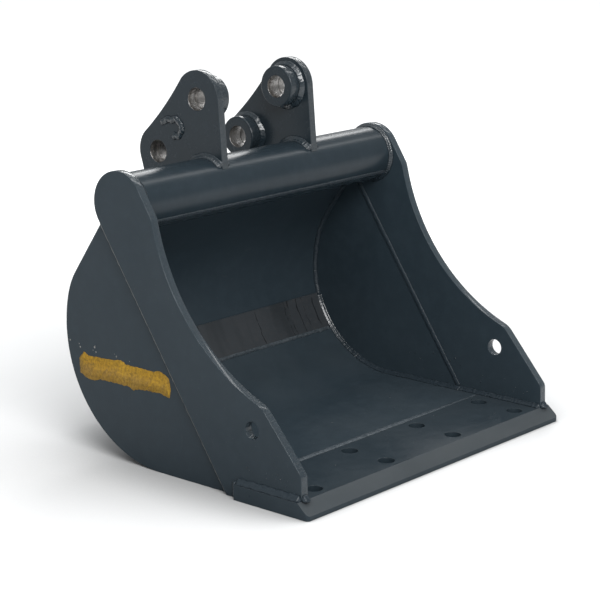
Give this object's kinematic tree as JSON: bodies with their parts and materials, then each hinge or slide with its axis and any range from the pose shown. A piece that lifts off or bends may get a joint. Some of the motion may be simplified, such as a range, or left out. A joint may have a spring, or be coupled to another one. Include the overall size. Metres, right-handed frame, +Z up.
{
  "type": "excavator bucket",
  "caption": "Welded digging bucket for a small excavator: curved steel shell, thick side cutters, bolt-hole cutting edge, round torque tube and two hanger ears with pin bosses.",
  "frame": {"origin": "bottom centre of the bucket's box, on the ground it stands on", "axes": "+X along the torque tube and pins, -Y towards the cutting edge, +Z up towards the hanger ears"},
  "size_m": [0.53, 0.4435, 0.4916],
  "materials": {
    "painted_plate": "semi-gloss dark grey paint",
    "painted_weld": "painted rippled weld bead",
    "painted_edge": "semi-gloss dark grey paint",
    "painted_bored_steel": "painted, with bare machined bores",
    "label": "worn blank sticker"
  },
  "bodies": {
    "root": {"back_plate_tube_weld": "painted_weld", "cutting_edge": "painted_edge", "ear_left": "painted_bored_steel", "ear_right": "painted_bored_steel", "ear_tube_weld_left": "painted_weld", "ear_tube_weld_right": "painted_weld", "edge_floor_weld": "painted_weld", "edge_side_weld_left": "painted_weld", "edge_side_weld_right": "painted_weld", "floor_plate": "painted_plate", "inner_seam_weld_left": "painted_weld", "inner_seam_weld_right": "painted_weld", "inner_side_weld_left": "painted_weld", "inner_side_weld_right": "painted_weld", "joint_strip": "painted_plate", "joint_strip_weld": "painted_weld", "lower_boss_left": "painted_bored_steel", "lower_boss_right": "painted_bored_steel", "lower_boss_weld_left": "painted_weld", "lower_boss_weld_right": "painted_weld", "outer_seam_weld_left": "painted_weld", "outer_seam_weld_right": "painted_weld", "outer_side_weld_left": "painted_weld", "outer_side_weld_right": "painted_weld", "shell_back_plate": "painted_plate", "side_cutter_left": "painted_plate", "side_cutter_right": "painted_plate", "side_label": "label", "side_plate_left": "painted_plate", "side_plate_right": "painted_plate", "torque_tube": "painted_plate", "tube_end_weld_left": "painted_weld", "tube_end_weld_right": "painted_weld", "tube_seam_weld": "painted_weld", "upper_boss_left": "painted_bored_steel", "upper_boss_right": "painted_bored_steel", "upper_boss_weld_left": "painted_weld", "upper_boss_weld_right": "painted_weld"}
  },
  "joints": []
}
